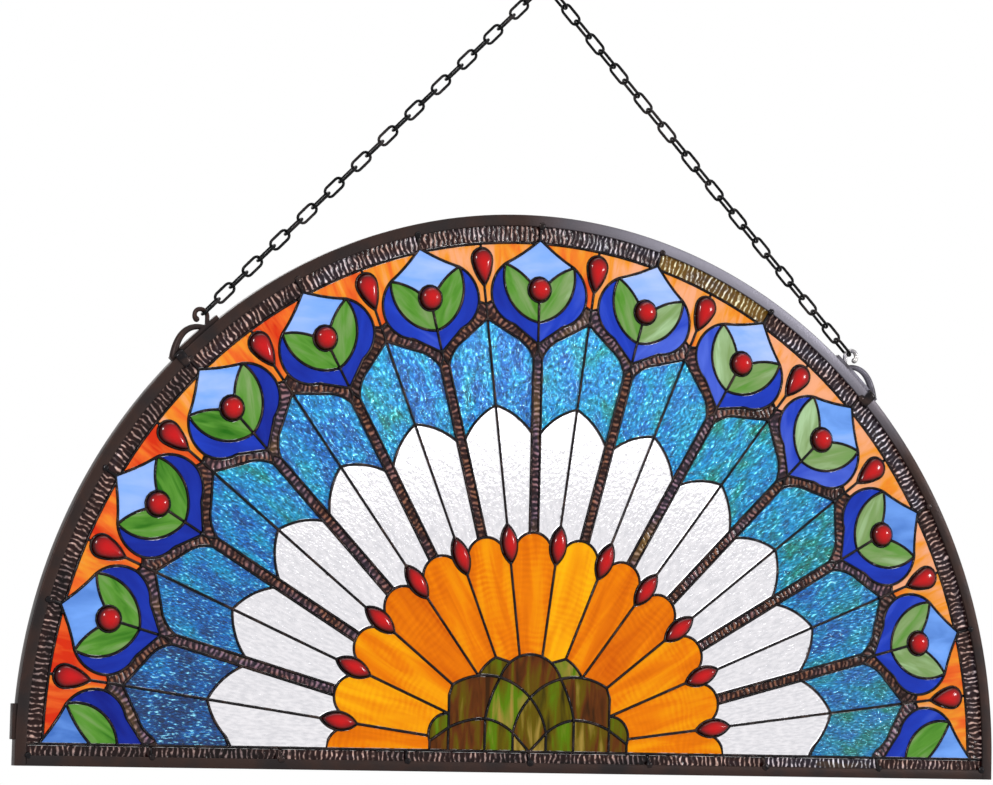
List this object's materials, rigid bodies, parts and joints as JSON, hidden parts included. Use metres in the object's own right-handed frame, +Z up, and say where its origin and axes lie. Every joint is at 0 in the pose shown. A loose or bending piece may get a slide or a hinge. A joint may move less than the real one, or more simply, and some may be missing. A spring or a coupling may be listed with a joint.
{
  "type": "stained glass panel",
  "caption": "Half-round stained glass panel with a feather fan round a scaled heart, framed in metal, which hangs by two chains from a ceiling hook.",
  "frame": {"origin": "centre of the flat top face of the ceiling rosette that the panel hangs from", "axes": "+X along the sill to the viewer's right, +Z up, the panel's front towards -Y"},
  "size_m": [0.8023, 0.032, 0.6415],
  "materials": {
    "sky_glass": "pale streaky art glass",
    "leaf_glass": "streaky green art glass",
    "cobalt_glass": "deep blue cathedral glass",
    "spandrel_glass": "streaky orange and yellow art glass",
    "border_glass": "ridged brown and purple ripple glass",
    "sill_glass": "ridged dark ripple glass",
    "collar_glass": "ridged brown ripple glass",
    "rib_glass": "ridged dark ripple glass",
    "wave_glass": "mottled turquoise glass with a pitted face",
    "clear_glass": "clear glass with a pitted face",
    "petal_glass": "amber art glass with cross ripples",
    "heart_green_glass": "streaky green art glass",
    "heart_brown_glass": "streaky brown and olive art glass",
    "round_gems": "polished red pressed glass",
    "teardrop_gems": "polished red pressed glass",
    "navette_gems": "polished red pressed glass",
    "solder": "black patina, glossy, rounded",
    "frame": "dark patina, satin",
    "bracket": "dark patina, satin",
    "chain": "black, satin",
    "ceiling_hook": "black, satin"
  },
  "bodies": {
    "root": {"sky_glass": "sky_glass", "leaf_glass": "leaf_glass", "cobalt_glass": "cobalt_glass", "spandrel_glass": "spandrel_glass", "border_glass": "border_glass", "sill_glass": "sill_glass", "collar_glass": "collar_glass", "rib_glass": "rib_glass", "wave_glass": "wave_glass", "clear_glass": "clear_glass", "petal_glass": "petal_glass", "heart_green_glass": "heart_green_glass", "heart_brown_glass": "heart_brown_glass", "round_gems": "round_gems", "teardrop_gems": "teardrop_gems", "navette_gems": "navette_gems", "seam_lattice": "solder", "frame_arch": "frame", "frame_sill": "frame", "bracket_left": "bracket", "bracket_right": "bracket", "side_tab": "frame", "chain_left": "chain", "chain_right": "chain", "hanging_ring": "chain", "ceiling_hook": "ceiling_hook"}
  },
  "joints": []
}
